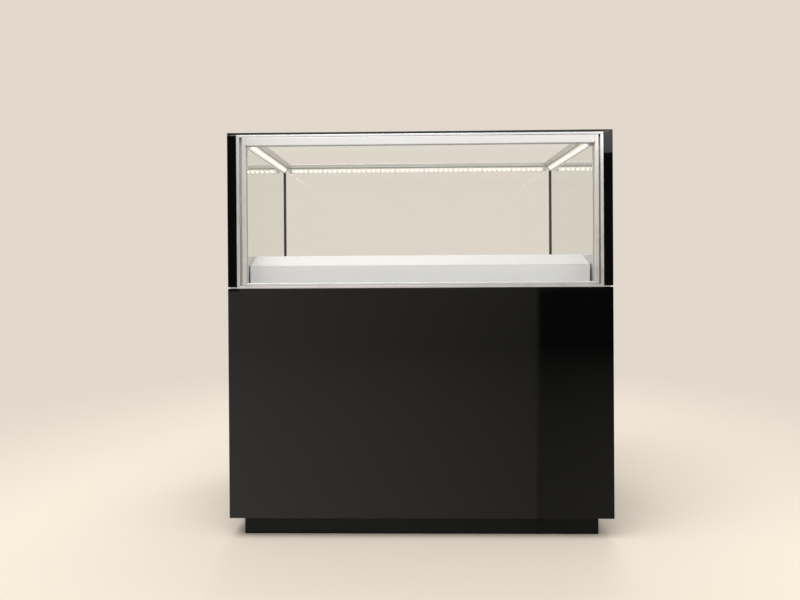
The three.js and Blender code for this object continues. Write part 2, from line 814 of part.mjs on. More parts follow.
// ---- Display deck: a bevelled board on four risers
function makeDeck() {
  const outX = mirrorInner - deckSideGap;
  const y = [front + deckSetback, rearGlassFront - fit];
  const deckZ = [plateTop + deckRise, plateTop + deckRise + deckThick];
  const riserZ = [plateTop + fit, deckZ[0] - fit];
  const middleY = (y[0] + y[1]) / 2;
  const boardShape = brick([-outX, outX], y, deckZ);
  const corner = boardShape.attributes.position;
  for (let i = 0; i < corner.count; i += 1) {
    if (corner.getZ(i) > deckZ[0] + 1) {
      corner.setX(i, corner.getX(i) - Math.sign(corner.getX(i)) * deckBevel);
      corner.setY(i, corner.getY(i) - Math.sign(corner.getY(i) - middleY) * deckBevel);
    }
  }
  const risers = sides.map(([side, sign]) => piece(
    `deck_riser_${side}`,
    brick(spanX(sign, outX - riserThick, outX), [y[0] + riserThick + fit, y[1] - riserThick - fit], riserZ),
    whiteLacquer,
  ));
  return group(
    piece('deck_board', boardShape, whiteLacquer),
    piece('deck_riser_front', brick([-outX, outX], [y[0], y[0] + riserThick], riserZ), whiteLacquer),
    piece('deck_riser_rear', brick([-outX, outX], [y[1] - riserThick, y[1]], riserZ), whiteLacquer),
    risers,
  );
}

export default group(
  makePlinth(),
  makeCupboard(),
  sides.map(([side, sign]) => makeRearDoor(side, sign)),
  makeLock(),
  makeInlet(),
  makeRocker(),
  makeDriver(),
  makeLead(),
  makePlate(),
  makeWalls(),
  makeFrontDoor(),
  makeRing(),
  makeLights(),
  makeDeck(),
);
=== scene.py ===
# Pedestal display case: finishes, glass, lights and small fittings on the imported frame.
# Metres, Z up, the front faces -Y. The dictionaries give sizes in millimetres unless they say so.
import math

import bmesh
import bpy
from mathutils import Matrix, Vector


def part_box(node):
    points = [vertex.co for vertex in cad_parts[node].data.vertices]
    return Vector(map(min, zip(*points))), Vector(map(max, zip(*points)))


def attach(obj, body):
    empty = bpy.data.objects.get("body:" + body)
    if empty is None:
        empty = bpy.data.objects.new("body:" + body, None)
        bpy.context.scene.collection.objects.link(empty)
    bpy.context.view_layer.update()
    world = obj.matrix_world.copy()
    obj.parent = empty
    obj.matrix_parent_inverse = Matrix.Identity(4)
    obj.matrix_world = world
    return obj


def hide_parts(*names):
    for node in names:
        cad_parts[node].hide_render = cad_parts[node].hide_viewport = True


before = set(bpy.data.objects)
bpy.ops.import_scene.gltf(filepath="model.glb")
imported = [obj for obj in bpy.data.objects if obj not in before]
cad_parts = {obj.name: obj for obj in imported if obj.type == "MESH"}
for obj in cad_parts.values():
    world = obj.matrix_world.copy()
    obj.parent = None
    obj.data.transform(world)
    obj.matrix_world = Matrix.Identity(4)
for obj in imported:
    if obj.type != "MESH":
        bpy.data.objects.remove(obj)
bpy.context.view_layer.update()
print("frame loaded,", len(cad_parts), "nodes")

mm = 0.001

cameraSettings = {
    "place": (-0.0206, -1.8386, 0.732),  # metres
    "yaw": -1.089,  # degrees, positive towards +X
    "pitch": -0.196,
    "roll": -0.357,
    "lens": 27.117,
    "sensor": 36,
    "shiftY": -0.0503,
}


def makeCamera(settings):
    data = bpy.data.cameras.new("camera")
    data.lens = settings["lens"]
    data.sensor_width = settings["sensor"]
    data.shift_y = settings["shiftY"]
    camera = bpy.data.objects.new("camera", data)
    turn = Matrix.Rotation(math.radians(-settings["yaw"]), 4, "Z")
    tilt = Matrix.Rotation(math.radians(90 + settings["pitch"]), 4, "X")
    roll = Matrix.Rotation(math.radians(settings["roll"]), 4, "Z")
    camera.matrix_world = Matrix.Translation(settings["place"]) @ turn @ tilt @ roll
    bpy.context.scene.collection.objects.link(camera)
    bpy.context.scene.camera = camera


makeCamera(cameraSettings)
print("camera set")

noiseSpan = (0.3, 0.7)  # most of a noise's values lie between these
mixSockets = (0, 6, 7)  # the factor and the two colours of a Mix node
mixResult = 2


def newMaterial(name, colour, roughness, metallic=0.0):
    material = bpy.data.materials.new(name)
    material.use_nodes = True
    shader = material.node_tree.nodes["Principled BSDF"]
    shader.inputs["Base Color"].default_value = (*colour, 1)
    shader.inputs["Roughness"].default_value = roughness
    shader.inputs["Metallic"].default_value = metallic
    return material, material.node_tree, shader


def newBareMaterial(name):
    material = bpy.data.materials.new(name)
    material.use_nodes = True
    tree = material.node_tree
    tree.nodes.remove(tree.nodes["Principled BSDF"])
    return material, tree


def addNode(tree, kind, values=None, **settings):
    node = tree.nodes.new(kind)
    for key, value in settings.items():
        setattr(node, key, value)
    for key, value in (values or {}).items():
        if isinstance(value, bpy.types.NodeSocket):
            tree.links.new(value, node.inputs[key])
        else:
            node.inputs[key].default_value = value
    return node


def addMath(tree, operation, first, second=0.5):
    return addNode(tree, "ShaderNodeMath", {0: first, 1: second}, operation=operation).outputs[0]


def where(tree, stretch=(1, 1, 1)):
    place = addNode(tree, "ShaderNodeTexCoord").outputs["Object"]
    return addNode(tree, "ShaderNodeMapping", {"Vector": place, "Scale": stretch}).outputs["Vector"]


def facing(tree, axis):
    normal = addNode(tree, "ShaderNodeTexCoord").outputs["Normal"]
    return addNode(tree, "ShaderNodeSeparateXYZ", {"Vector": normal}).outputs[axis]


def noise(tree, place, scale, detail, rough=0.5):
    values = {"Vector": place, "Scale": scale, "Detail": detail, "Roughness": rough}
    return addNode(tree, "ShaderNodeTexNoise", values).outputs["Fac"]


def spread(tree, value, source, target):
    values = {
        "Value": value,
        "From Min": source[0],
        "From Max": source[1],
        "To Min": target[0],
        "To Max": target[1],
    }
    return addNode(tree, "ShaderNodeMapRange", values).outputs["Result"]


def blend(tree, amount, first, second):
    node = addNode(tree, "ShaderNodeMix", data_type="RGBA")
    for index, value in zip(mixSockets, (amount, first, second)):
        if isinstance(value, bpy.types.NodeSocket):
            tree.links.new(value, node.inputs[index])
        elif isinstance(value, tuple):
            node.inputs[index].default_value = (*value, 1)
        else:
            node.inputs[index].default_value = value
    return node.outputs[mixResult]


def scaled(colour, factor):
    return tuple(c * factor for c in colour)


def setTones(tree, shader, amount, tones):
    tree.links.new(blend(tree, amount, *tones), shader.inputs["Base Color"])


def setHaze(tree, shader, amount, haze, source=noiseSpan):
    tree.links.new(spread(tree, amount, source, haze), shader.inputs["Roughness"])


def addBump(tree, shader, height, depth, strength):
    values = {"Height": height, "Distance": depth * mm, "Strength": strength}
    bump = addNode(tree, "ShaderNodeBump", values)
    tree.links.new(bump.outputs["Normal"], shader.inputs["Normal"])


def mixSurface(tree, share, first, second):
    pair = addNode(tree, "ShaderNodeMixShader", {0: share, 1: first.outputs[0], 2: second.outputs[0]})
    tree.links.new(pair.outputs[0], tree.nodes["Material Output"].inputs["Surface"])


glossBoard = {
    "colour": (0.0018, 0.0019, 0.0019),
    "roughness": 0.05,
    "specular": 0.42,
    "haze": (0.03, 0.075),
    "smudgeScale": 5.5,
    "smudgeSpan": (0.35, 0.7),
    "dustScale": 900,
    "dustSpan": (0.66, 0.74),  # only the noise's peaks show as specks
    "dustTone": 2.2,  # times as pale as the board
    "peelScale": 170,
    "peelDepth": 0.05,
    "peelStrength": 0.5,
}


def makeGlossBlack(settings):
    colour = settings["colour"]
    material, tree, shader = newMaterial("gloss_black", colour, settings["roughness"])
    shader.inputs["Specular IOR Level"].default_value = settings["specular"]
    place = where(tree)
    smudge = noise(tree, place, settings["smudgeScale"], 5, 0.62)
    setHaze(tree, shader, smudge, settings["haze"], settings["smudgeSpan"])
    dust = noise(tree, place, settings["dustScale"], 1)
    speck = spread(tree, dust, settings["dustSpan"], (0, 1))
    setTones(tree, shader, speck, (colour, scaled(colour, settings["dustTone"])))
    peel = noise(tree, place, settings["peelScale"], 1.5)
    addBump(tree, shader, peel, settings["peelDepth"], settings["peelStrength"])
    return material


mattBoard = {
    "colour": (0.004, 0.005, 0.0045),
    "tones": ((0.0034, 0.0044, 0.0038), (0.006, 0.0072, 0.0062)),
    "roughness": 0.6,
    "specular": 0.18,
    "haze": (0.5, 0.66),
    "cloudScale": 9,
    "grainScale": 1400,
    "grainDepth": 0.06,
    "grainStrength": 0.6,
}


def makeMattBlack(settings):
    material, tree, shader = newMaterial("matt_black", settings["colour"], settings["roughness"])
    shader.inputs["Specular IOR Level"].default_value = settings["specular"]
    place = where(tree)
    grain = noise(tree, place, settings["grainScale"], 3, 0.6)
    cloud = noise(tree, place, settings["cloudScale"], 3)
    setHaze(tree, shader, cloud, settings["haze"])
    setTones(tree, shader, grain, settings["tones"])
    addBump(tree, shader, grain, settings["grainDepth"], settings["grainStrength"])
    return material


lacquer = {
    "colour": (0.79, 0.79, 0.81),
    "tones": ((0.776, 0.777, 0.797), (0.805, 0.804, 0.823)),
    "roughness": 0.28,
    "haze": (0.22, 0.36),
    "cloudScale": 6,
    "rollerScale": 420,  # the fine texture that a roller leaves
    "rollerDepth": 0.05,
    "rollerStrength": 0.6,
}


def makeLacquer(settings):
    material, tree, shader = newMaterial("white_lacquer", settings["colour"], settings["roughness"])
    place = where(tree)
    cloud = noise(tree, place, settings["cloudScale"], 4)
    setTones(tree, shader, cloud, settings["tones"])
    roller = noise(tree, place, settings["rollerScale"], 2)
    setHaze(tree, shader, roller, settings["haze"])
    addBump(tree, shader, roller, settings["rollerDepth"], settings["rollerStrength"])
    return material


brushed = {
    "aluminium": (0.88, 0.885, 0.88),
    "crossBar": (0.875, 0.895, 0.915),  # the bars across the front are a cooler grade
    "rail": (0.63, 0.635, 0.625),  # painted shade: the rails and channels under the lid get a darker copy of the aluminium
    "steel": (0.62, 0.615, 0.6),
    "copper": (0.75, 0.5, 0.32),
    "lineTone": 0.93,  # of a brush line, against the metal's own
    "cloudScale": 14,
    "smoother": 0.05,
    "rougher": 0.07,
    "hazeSpan": (0.7, 1.3),  # of two noises added up
    "strength": 0.7,
}
brushLong = 9  # scale of the noise along the brush lines
brushFine = 2600  # and across them
brushX = (brushLong, brushFine, brushFine)
brushY = (brushFine, brushLong, brushFine)
brushZ = (brushFine, brushFine, brushLong)
turnedGrain = (900, 900, 900)
copperGrain = (800, 800, 800)


def makeBrushedMetal(name, grade, roughness, grain, depth=0.02):
    # grain is the noise's scale on each axis
    colour = brushed[grade]
    material, tree, shader = newMaterial(name, colour, roughness, 1.0)
    lines = noise(tree, where(tree, grain), 1.0, 3, 0.65)
    cloud = noise(tree, where(tree), brushed["cloudScale"], 3)
    setTones(tree, shader, lines, (scaled(colour, brushed["lineTone"]), colour))
    haze = (roughness - brushed["smoother"], roughness + brushed["rougher"])
    setHaze(tree, shader, addMath(tree, "ADD", lines, cloud), haze, brushed["hazeSpan"])
    addBump(tree, shader, lines, depth, brushed["strength"])
    return material


paneGlass = {
    "tint": (0.99, 0.995, 0.992),
    "index": 1.6,
    "haze": (0.0, 0.06),
    "smearScale": 9,
    "smearSpan": (0.4, 0.75),
    "upward": 0.5,  # a face whose normal rises more than this is an upper one
}


def makeClearGlass(name, settings, upperOnly=False):
    # A pane is two faces that each mirror a little and pass the rest straight through
    material, tree = newBareMaterial(name)
    smear = noise(tree, where(tree), settings["smearScale"], 5, 0.6)
    haze = spread(tree, smear, settings["smearSpan"], settings["haze"])
    shine = addNode(tree, "ShaderNodeBsdfGlossy", {"Roughness": haze})
    through = addNode(tree, "ShaderNodeBsdfTransparent", {"Color": (*settings["tint"], 1)})
    glance = addNode(tree, "ShaderNodeFresnel", {"IOR": settings["index"]}).outputs["Fac"]
    inside = addNode(tree, "ShaderNodeNewGeometry").outputs["Backfacing"]
    outside = spread(tree, inside, (0, 1), (1, 0))  # only the face that light meets first mirrors
    share = addMath(tree, "MULTIPLY", glance, outside)
    if upperOnly:
        upper = addMath(tree, "GREATER_THAN", facing(tree, "Z"), settings["upward"])
        share = addMath(tree, "MULTIPLY", share, upper)
    mixSurface(tree, share, through, shine)
    return material


polishedEdge = {
    "colour": (0.006, 0.012, 0.011),
    "tones": ((0.004, 0.008, 0.007), (0.009, 0.018, 0.016)),
    "roughness": 0.12,
    "haze": (0.08, 0.2),
    "streakScale": 60,
    "streakStretch": (1, 1, 40),
}


def makeGlassEdge(settings):
    material, tree, shader = newMaterial("glass_edge", settings["colour"], settings["roughness"])
    place = where(tree, settings["streakStretch"])
    streak = noise(tree, place, settings["streakScale"], 3)
    setTones(tree, shader, streak, settings["tones"])
    setHaze(tree, shader, streak, settings["haze"])
    return material


mirrorGlass = {
    "silver": (0.9, 0.915, 0.905),
    "edge": (0.03, 0.06, 0.052),
    "roughness": 0.01,
    "haze": (0.0, 0.035),
    "smearScale": 8,
    "smearSpan": (0.45, 0.8),
    "sideways": 0.9,  # a face whose normal lies nearer to X than this is silvered
}


def makeMirror(settings):
    # Silvered behind, so its faces across X mirror and its polished edges are green
    material, tree, shader = newMaterial("mirror", settings["silver"], settings["roughness"], 1.0)
    side = addMath(tree, "ABSOLUTE", facing(tree, "X"))
    silver = addMath(tree, "GREATER_THAN", side, settings["sideways"])
    setTones(tree, shader, silver, (settings["edge"], settings["silver"]))
    tree.links.new(silver, shader.inputs["Metallic"])
    smear = noise(tree, where(tree), settings["smearScale"], 4)
    setHaze(tree, shader, smear, settings["haze"], settings["smearSpan"])
    return material


fineGrain = {"paleTone": 1.5, "haze": 0.08, "strength": 0.8}


def makeFineGrain(name, colour, roughness, scale, depth):
    # Rubber, plastic and print, with a grain too fine to see from afar
    material, tree, shader = newMaterial(name, colour, roughness)
    grain = noise(tree, where(tree), scale, 2)
    setTones(tree, shader, grain, (colour, scaled(colour, fineGrain["paleTone"])))
    setHaze(tree, shader, grain, (roughness - fineGrain["haze"], roughness + fineGrain["haze"]))
    addBump(tree, shader, grain, depth, fineGrain["strength"])
    return material


glow = {"roughness": 0.35, "grainScale": 1600, "grainTone": 0.94}


def makeGlow(name, colour, strength):
    # An even glow over a face whose own colour has a fine grain
    material, tree, shader = newMaterial(name, colour, glow["roughness"])
    grain = noise(tree, where(tree), glow["grainScale"], 2)
    setTones(tree, shader, grain, (colour, scaled(colour, glow["grainTone"])))
    shader.inputs["Emission Color"].default_value = (*colour, 1)
    shader.inputs["Emission Strength"].default_value = strength
    return material


materials = {
    "glossBlack": makeGlossBlack(glossBoard),
    "mattBlack": makeMattBlack(mattBoard),
    "lacquer": makeLacquer(lacquer),
    "aluminiumX": makeBrushedMetal("aluminium_across", "crossBar", 0.3, brushX),
    "aluminiumZ": makeBrushedMetal("aluminium_upright", "aluminium", 0.3, brushZ),
    # Painted shade: the rails and channels under the lid use a darker copy of the same aluminium
    "shadedRailX": makeBrushedMetal("shaded_rail_across", "rail", 0.36, brushX),
    "shadedRailY": makeBrushedMetal("shaded_rail_deep", "rail", 0.36, brushY),
    "steel": makeBrushedMetal("steel", "steel", 0.24, turnedGrain, 0.01),
    "clearGlass": makeClearGlass("clear_glass", paneGlass),
    "lidGlass": makeClearGlass("lid_glass", paneGlass, upperOnly=True),
    "glassEdge": makeGlassEdge(polishedEdge),
    "mirror": makeMirror(mirrorGlass),
    "rubber": makeFineGrain("black_rubber", (0.008, 0.008, 0.008), 0.62, 900, 0.05),
    "leadSkin": makeFineGrain("lead_skin", (0.01, 0.01, 0.011), 0.42, 600, 0.02),
    "blackPlastic": makeFineGrain("black_plastic", (0.011, 0.011, 0.012), 0.42, 1500, 0.04),
    "paleCase": makeFineGrain("pale_case", (0.44, 0.45, 0.44), 0.45, 1300, 0.05),
    "tapeWhite": makeFineGrain("tape_white", (0.55, 0.55, 0.53), 0.35, 700, 0.01),
    "phosphor": makeGlow("phosphor", (1.0, 0.96, 0.86), 8.0),
    # The tape is no lamp: its glow is painted light, standing in for the diodes' light on it
    "tapeGlow": makeGlow("tape_glow", (0.88, 0.83, 0.72), 0.4),
    "darkChip": makeFineGrain("dark_chip", (0.02, 0.02, 0.02), 0.35, 900, 0.01),
    "copper": makeBrushedMetal("copper", "copper", 0.3, copperGrain, 0.005),
    "markWhite": makeFineGrain("mark_white", (0.5, 0.5, 0.5), 0.5, 1200, 0.01),
}
print("materials made,", len(materials))

creaseAngle = 32  # degrees, past which an edge of a turned piece stays sharp
mergeDistance = 1e-6  # metres


def paint(corners, slot):
    for face in {face for corner in corners for face in corner.link_faces}:
        face.material_index = slot
    return corners


def addBox(bm, low, high, slot=0):
    low, high = Vector(low), Vector(high)
    place = Matrix.Translation((low + high) / 2) @ Matrix.Diagonal((*(high - low), 1))
    return paint(bmesh.ops.create_cube(bm, size=1, matrix=place)["verts"], slot)


def addRod(bm, radius, start, end, slot, sides, tip=None):
    start, end = Vector(start), Vector(end)
    turn = (end - start).to_track_quat("Z", "Y").to_matrix().to_4x4()
    made = bmesh.ops.create_cone(
        bm, cap_ends=True, segments=sides, radius1=radius, radius2=radius if tip is None else tip,
        depth=(end - start).length, matrix=Matrix.Translation((start + end) / 2) @ turn)
    return paint(made["verts"], slot)


def edgesOf(corners):
    return list({edge for corner in corners for edge in corner.link_edges})


def roundOff(bm, edges, width, segments=2):
    bmesh.ops.bevel(
        bm, geom=edges, offset=width * mm, affect="EDGES", segments=segments, profile=0.5, material=-1)


def addTurned(bm, profile, centre, axis, steps):
    # profile is (radius, distance along the axis) in metres, from one end of the axis to the other
    centre, axis = Vector(centre), Vector(axis)
    side = axis.orthogonal().normalized()
    corners = [bm.verts.new(centre + side * radius + axis * far) for radius, far in profile]
    edges = [bm.edges.new(pair) for pair in zip(corners, corners[1:])]
    bmesh.ops.spin(
        bm, geom=corners + edges, cent=centre, axis=axis, angle=2 * math.pi, steps=steps, use_merge=True)
    bmesh.ops.remove_doubles(bm, verts=bm.verts, dist=mergeDistance)
    for face in bm.faces:
        face.smooth = True


def sharpen(bm):
    for edge in bm.edges:
        edge.smooth = edge.is_boundary or edge.calc_face_angle(0) < math.radians(creaseAngle)


def toObject(name, bm, finishes):
    mesh = bpy.data.meshes.new(name)
    bm.to_mesh(mesh)
    bm.free()
    for finish in finishes:
        mesh.materials.append(finish)
    made = bpy.data.objects.new(name, mesh)
    bpy.context.scene.collection.objects.link(made)
    return made


def makePiece(name, bm, finishes, body, instead=()):
    bmesh.ops.recalc_face_normals(bm, faces=bm.faces)
    piece = toObject(name, bm, [materials[finish] for finish in finishes])
    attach(piece, body)
    if instead:
        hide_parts(*instead)


# Frame pieces that keep their solid: welded, edges eased, finish assigned
easing = {"weld": 0.002, "segments": 2, "angle": 40}
eased = {
    "glossBlack": (
        0.8,
        "base_front_panel base_side_left base_side_right base_bottom base_top base_rear_rail "
        "rear_door_left rear_door_right side_panel_left side_panel_right",
    ),
    "mattBlack": (0.6, "plinth_front plinth_rear plinth_left plinth_right base_shelf"),
    "lacquer": (1.2, "deck_board deck_riser_front deck_riser_rear deck_riser_left deck_riser_right"),
    "aluminiumX": (0.5, "head_jamb door_rail_lower door_rail_upper base_plate"),
    "shadedRailX": (0.5, "top_rail_front top_rail_rear led_channel_rear"),
    "shadedRailY": (0.5, "top_rail_left top_rail_right led_channel_left led_channel_right"),
    "aluminiumZ": (0.5, "jamb_left jamb_right door_stile_left door_stile_right"),
    "mirror": (0.5, "mirror_left mirror_right"),
    "rubber": (0.4, "rear_seal_left rear_seal_right"),
    "leadSkin": (0, "led_lead"),
    "steel": (0.8, "door_catch"),
    "blackPlastic": (0.4, "power_inlet power_rocker"),
}


def dressNode(name, finish, ease, settings):
    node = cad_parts[name]
    node.data.materials.clear()
    node.data.materials.append(materials[finish])
    weld = node.modifiers.new("weld", "WELD")
    weld.merge_threshold = settings["weld"] * mm
    if ease:
        bevel = node.modifiers.new("ease", "BEVEL")
        bevel.width = ease * mm
        bevel.segments = settings["segments"]
        bevel.limit_method = "ANGLE"
        bevel.angle_limit = math.radians(settings["angle"])


for finish, (ease, names) in eased.items():
    for name in names.split():
        dressNode(name, finish, ease, easing)
print("frame pieces dressed")

# Glass panes: "thin" is the axis across the pane, 1 for Y and 2 for Z
squareOn = 0.99  # a face whose normal lies nearer to that axis than this is clear, not edge
panes = {
    "top_glass": {
        "piece": "top_pane",
        "body": "root",
        "thin": 2,
        "arris": 0.8,
        "finish": "lidGlass",
    },
    "rear_glass": {
        "piece": "rear_pane",
        "body": "root",
        "thin": 1,
        "arris": 0.5,
        "finish": "clearGlass",
    },
    "door_glass": {
        "piece": "door_pane",
        "body": "front_door",
        "thin": 1,
        "arris": 0.5,
        "finish": "clearGlass",
    },
}


def makePane(node, settings):
    bm = bmesh.new()
    corners = addBox(bm, *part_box(node))
    roundOff(bm, edgesOf(corners), settings["arris"])
    for face in bm.faces:
        face.material_index = 0 if abs(face.normal[settings["thin"]]) > squareOn else 1
    finishes = (settings["finish"], "glassEdge")
    makePiece(settings["piece"], bm, finishes, settings["body"], (node,))


for node, settings in panes.items():
    makePane(node, settings)
print("panes made")

# Glazing gasket, a slim pale ring on each face of the door's pane, inside the frame
gasket = {"width": 1.0, "depth": 2.0, "arris": 0.25}


def addBar(bm, low, high, arris):
    roundOff(bm, edgesOf(addBox(bm, low, high)), arris, 1)


def makeGasket(settings):
    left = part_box("door_stile_left")[1].x
    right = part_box("door_stile_right")[0].x
    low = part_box("door_rail_lower")[1].z
    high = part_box("door_rail_upper")[0].z
    glassLow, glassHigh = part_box("door_glass")
    wide = settings["width"] * mm
    deep = settings["depth"] * mm
    bm = bmesh.new()
    for near in (glassLow.y - deep, glassHigh.y):
        for x in (left, right - wide):
            addBar(bm, (x, near, low), (x + wide, near + deep, high), settings["arris"])
        for z in (low, high - wide):
            addBar(bm, (left + wide, near, z), (right - wide, near + deep, z + wide), settings["arris"])
    makePiece("door_gasket", bm, ("paleCase",), "front_door")


makeGasket(gasket)
print("gasket made")

# Light strips: white tape, square diodes with a round window, resistors and solder pads
strips = {
    "pitch": 1000 / 60,  # sixty diodes to the metre
    "tapeWidth": 15,
    "tapeThick": 1.5,
    "tapeArris": 0.3,
    "lift": 0.3,  # from the channel's slanted face
    "channelLip": 1.5,
    "sunk": 0.6,  # a chip starts at this share of the tape's thickness
    "chip": 5.0,
    "chipRise": 0.9,
    "window": 2.0,
    "windowProud": 0.15,
    "windowDepth": 0.4,
    "windowSides": 12,
    "resistor": (1.6, 3.2),
    "resistorAside": 3.0,
    "resistorRise": 0.45,
    "pad": (1.8, 2.4),
    "padAside": (-6.0, -3.6, 0, 5.6),
    "padRise": 0.08,
    "padSunk": 0.8,
    "padEvery": 3,
}
# Slots 0 to 4: tape, diodes, their windows, resistors, pads
stripFinishes = ("tapeGlow", "tapeWhite", "phosphor", "darkChip", "copper")


def addDiode(bm, y, settings):
    half = settings["chip"] / 2 * mm
    tape = settings["tapeThick"] * mm
    top = tape + settings["chipRise"] * mm
    chipTop = top - settings["windowProud"] * mm
    addBox(bm, (-half, y - half, tape * settings["sunk"]), (half, y + half, chipTop), 1)
    windowFoot = top - settings["windowDepth"] * mm
    addRod(bm, settings["window"] * mm, (0, y, windowFoot), (0, y, top), 2, settings["windowSides"])


def addPatch(bm, x, y, size, low, high, slot):
    # A low block on the tape, x in millimetres from its middle line
    halfX, halfY = (side / 2 * mm for side in size)
    addBox(bm, (x * mm - halfX, y - halfY, low), (x * mm + halfX, y + halfY, high), slot)


def addTapeDetail(bm, y, index, settings):
    tape = settings["tapeThick"] * mm
    middle = y + settings["pitch"] / 2 * mm
    top = tape + settings["resistorRise"] * mm
    addPatch(bm, settings["resistorAside"], middle, settings["resistor"], tape * settings["sunk"], top, 3)
    if index % settings["padEvery"] == settings["padEvery"] - 1:
        padTop = tape + settings["padRise"] * mm
        for x in settings["padAside"]:
            addPatch(bm, x, middle, settings["pad"], tape * settings["padSunk"], padTop, 4)


def stripMiddle(channel, runAxis, towards, settings):
    # The channel's corner is away from where it faces, and the slant's middle lies between its legs
    low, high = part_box(channel)
    middle = (low + high) / 2
    leg = high.z - low.z
    lip = settings["channelLip"] * mm
    for axis in (0, 1, 2):
        if axis != runAxis:
            corner = low[axis] if towards[axis] > 0 else high[axis]
            middle[axis] = corner + math.copysign((leg + lip) / 2, towards[axis])
    return middle


def makeStrip(side, runAxis, towards, settings):
    # Built flat along Y with its diodes up, then laid on the channel's slanted face
    node = f"led_strip_{side}"
    low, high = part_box(node)
    length = high[runAxis] - low[runAxis]
    halfWidth = settings["tapeWidth"] / 2 * mm
    bm = bmesh.new()
    tape = addBox(bm, (-halfWidth, -length / 2, 0), (halfWidth, length / 2, settings["tapeThick"] * mm))
    roundOff(bm, edgesOf(tape), settings["tapeArris"])
    step = settings["pitch"] * mm
    count = int(length / step)
    for index in range(count):
        y = (index - (count - 1) / 2) * step
        addDiode(bm, y, settings)
        if index < count - 1:
            addTapeDetail(bm, y, index, settings)
    run = Vector((0, 1, 0)) if runAxis == 1 else Vector((1, 0, 0))
    up = Vector(towards).normalized()
    turn = Matrix((run.cross(up), run, up)).transposed().to_4x4()
    middle = stripMiddle(f"led_channel_{side}", runAxis, towards, settings) + up * settings["lift"] * mm
    middle[runAxis] = (low[runAxis] + high[runAxis]) / 2
    bmesh.ops.transform(bm, matrix=Matrix.Translation(middle) @ turn, verts=bm.verts)
    makePiece(f"light_strip_{side}", bm, stripFinishes, "root", (node,))


makeStrip("left", 1, (1, 0, -1), strips)
makeStrip("right", 1, (-1, 0, -1), strips)
makeStrip("rear", 0, (0, -1, -1), strips)
print("light strips made")

pin = {"chamfer": 0.5, "steps": 24}


def makePin(node, body, settings):
    low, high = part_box(node)
    middle = (low + high) / 2
    radius = (high.x - low.x) / 2
    length = high.z - low.z
    chamfer = settings["chamfer"] * mm
    profile = (
        (0, 0), (radius - chamfer, 0), (radius, chamfer),
        (radius, length - chamfer), (radius - chamfer, length), (0, length))
    bm = bmesh.new()
    addTurned(bm, profile, (middle.x, middle.y, low.z), (0, 0, 1), settings["steps"])
    sharpen(bm)
    makePiece(f"{node}_turned", bm, ("steel",), body, (node,))


for end in ("lower", "upper"):
    makePin(f"door_pin_{end}", "front_door", pin)
    for side in ("left", "right"):
        makePin(f"rear_pin_{side}_{end}", f"rear_door_{side}", pin)
print("pins made")

# Knob: a stud in the door, a waisted neck, and a dished head with a fine groove round its rim
knob = {
    "steps": 48,
    "gap": 0.3,  # between the door and the neck's foot
    "stud": ((0, 0), (2.1, 0), (2.5, 0.4)),  # radius, height over the stud's end
    "neck": (  # radius, height over the neck's foot
        (2.5, 0), (7, 0), (7, 0.7), (6, 1.6), (5.2, 3), (5, 5), (5.3, 7.6), (6.6, 9.3), (9.5, 10.4)),
    "shoulder": ((0.5, 11.2), (0, 12)),  # how far inside the head's radius, height over the foot
    "rim": (  # how far inside the head's radius, depth under its top
        (0, 4.6), (0.5, 4.3), (0.5, 3.7), (0, 3.4), (0, 1.6), (0.6, 0.5), (1.8, 0), (3, 0.1)),
    "dish": ((5, 0.5), (0, 0.6)),  # radius, depth under the head's top
}


def yAxisOf(node):
    low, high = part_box(node)
    return Vector(((low.x + high.x) / 2, 0, (low.z + high.z) / 2))


def makeKnob(side, settings):
    node = f"knob_{side}"
    low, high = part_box(node)
    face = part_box(f"rear_door_{side}")[1].y + settings["gap"] * mm
    head = (high.x - low.x) / 2
    profile = [(radius * mm, low.y + far * mm) for radius, far in settings["stud"]]
    profile += [(radius * mm, face + far * mm) for radius, far in settings["neck"]]
    profile += [(head - inner * mm, face + far * mm) for inner, far in settings["shoulder"]]
    profile += [(head - inner * mm, high.y - below * mm) for inner, below in settings["rim"]]
    profile += [(radius * mm, high.y - below * mm) for radius, below in settings["dish"]]
    bm = bmesh.new()
    addTurned(bm, profile, yAxisOf(node), (0, 1, 0), settings["steps"])
    sharpen(bm)
    makePiece(f"turned_knob_{side}", bm, ("steel",), f"rear_door_{side}", (node,))


makeKnob("left", knob)
makeKnob("right", knob)
print("knobs made")

# Cam lock: a tube with a collar in the right rear door, and the barrel that turns in it
lockTube = {
    "steps": 48,
    "gap": 0.3,  # between the door and the collar
    "radius": 8.0,
    "bore": 6.3,
    "endChamfer": 0.4,
    "collarChamfer": 0.9,
    "mouth": (0.8, 0.5),  # the bore's countersink, wide and deep
}


def makeLockTube(settings):
    low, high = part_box("lock_housing")
    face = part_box("rear_door_right")[1].y + settings["gap"] * mm
    collar = (high.x - low.x) / 2
    radius = settings["radius"] * mm
    bore = settings["bore"] * mm
    endChamfer = settings["endChamfer"] * mm
    collarChamfer = settings["collarChamfer"] * mm
    mouthWide, mouthDeep = (v * mm for v in settings["mouth"])
    profile = [
        (bore, low.y), (radius - endChamfer, low.y), (radius, low.y + endChamfer), (radius, face),
        (collar, face), (collar, high.y - collarChamfer), (collar - collarChamfer, high.y),
        (bore + mouthWide, high.y), (bore, high.y - mouthDeep), (bore, low.y),
    ]
    bm = bmesh.new()
    addTurned(bm, profile, yAxisOf("lock_housing"), (0, 1, 0), settings["steps"])
    sharpen(bm)
    makePiece("lock_tube", bm, ("steel",), "rear_door_right", ("lock_housing",))


lockBarrel = {
    "steps": 40,
    "radius": 6.0,
    "chamfer": 0.4,
    "keySlot": (7.0, 1.6),
    "slotRise": (-0.05, 0.05),  # the dark slot's two faces, from the recess's floor
    "recess": (0.9, 0.6),  # how far the recess reaches past the slot, at its top and at its floor
    "recessDepth": 0.3,
    "camThick": 3.0,
    "camRound": 5,
    "camSegments": 5,
    "washerRadius": 5.6,
    "washerSides": 28,
    "washerProud": 0.6,
    "washerSunk": 0.2,
}


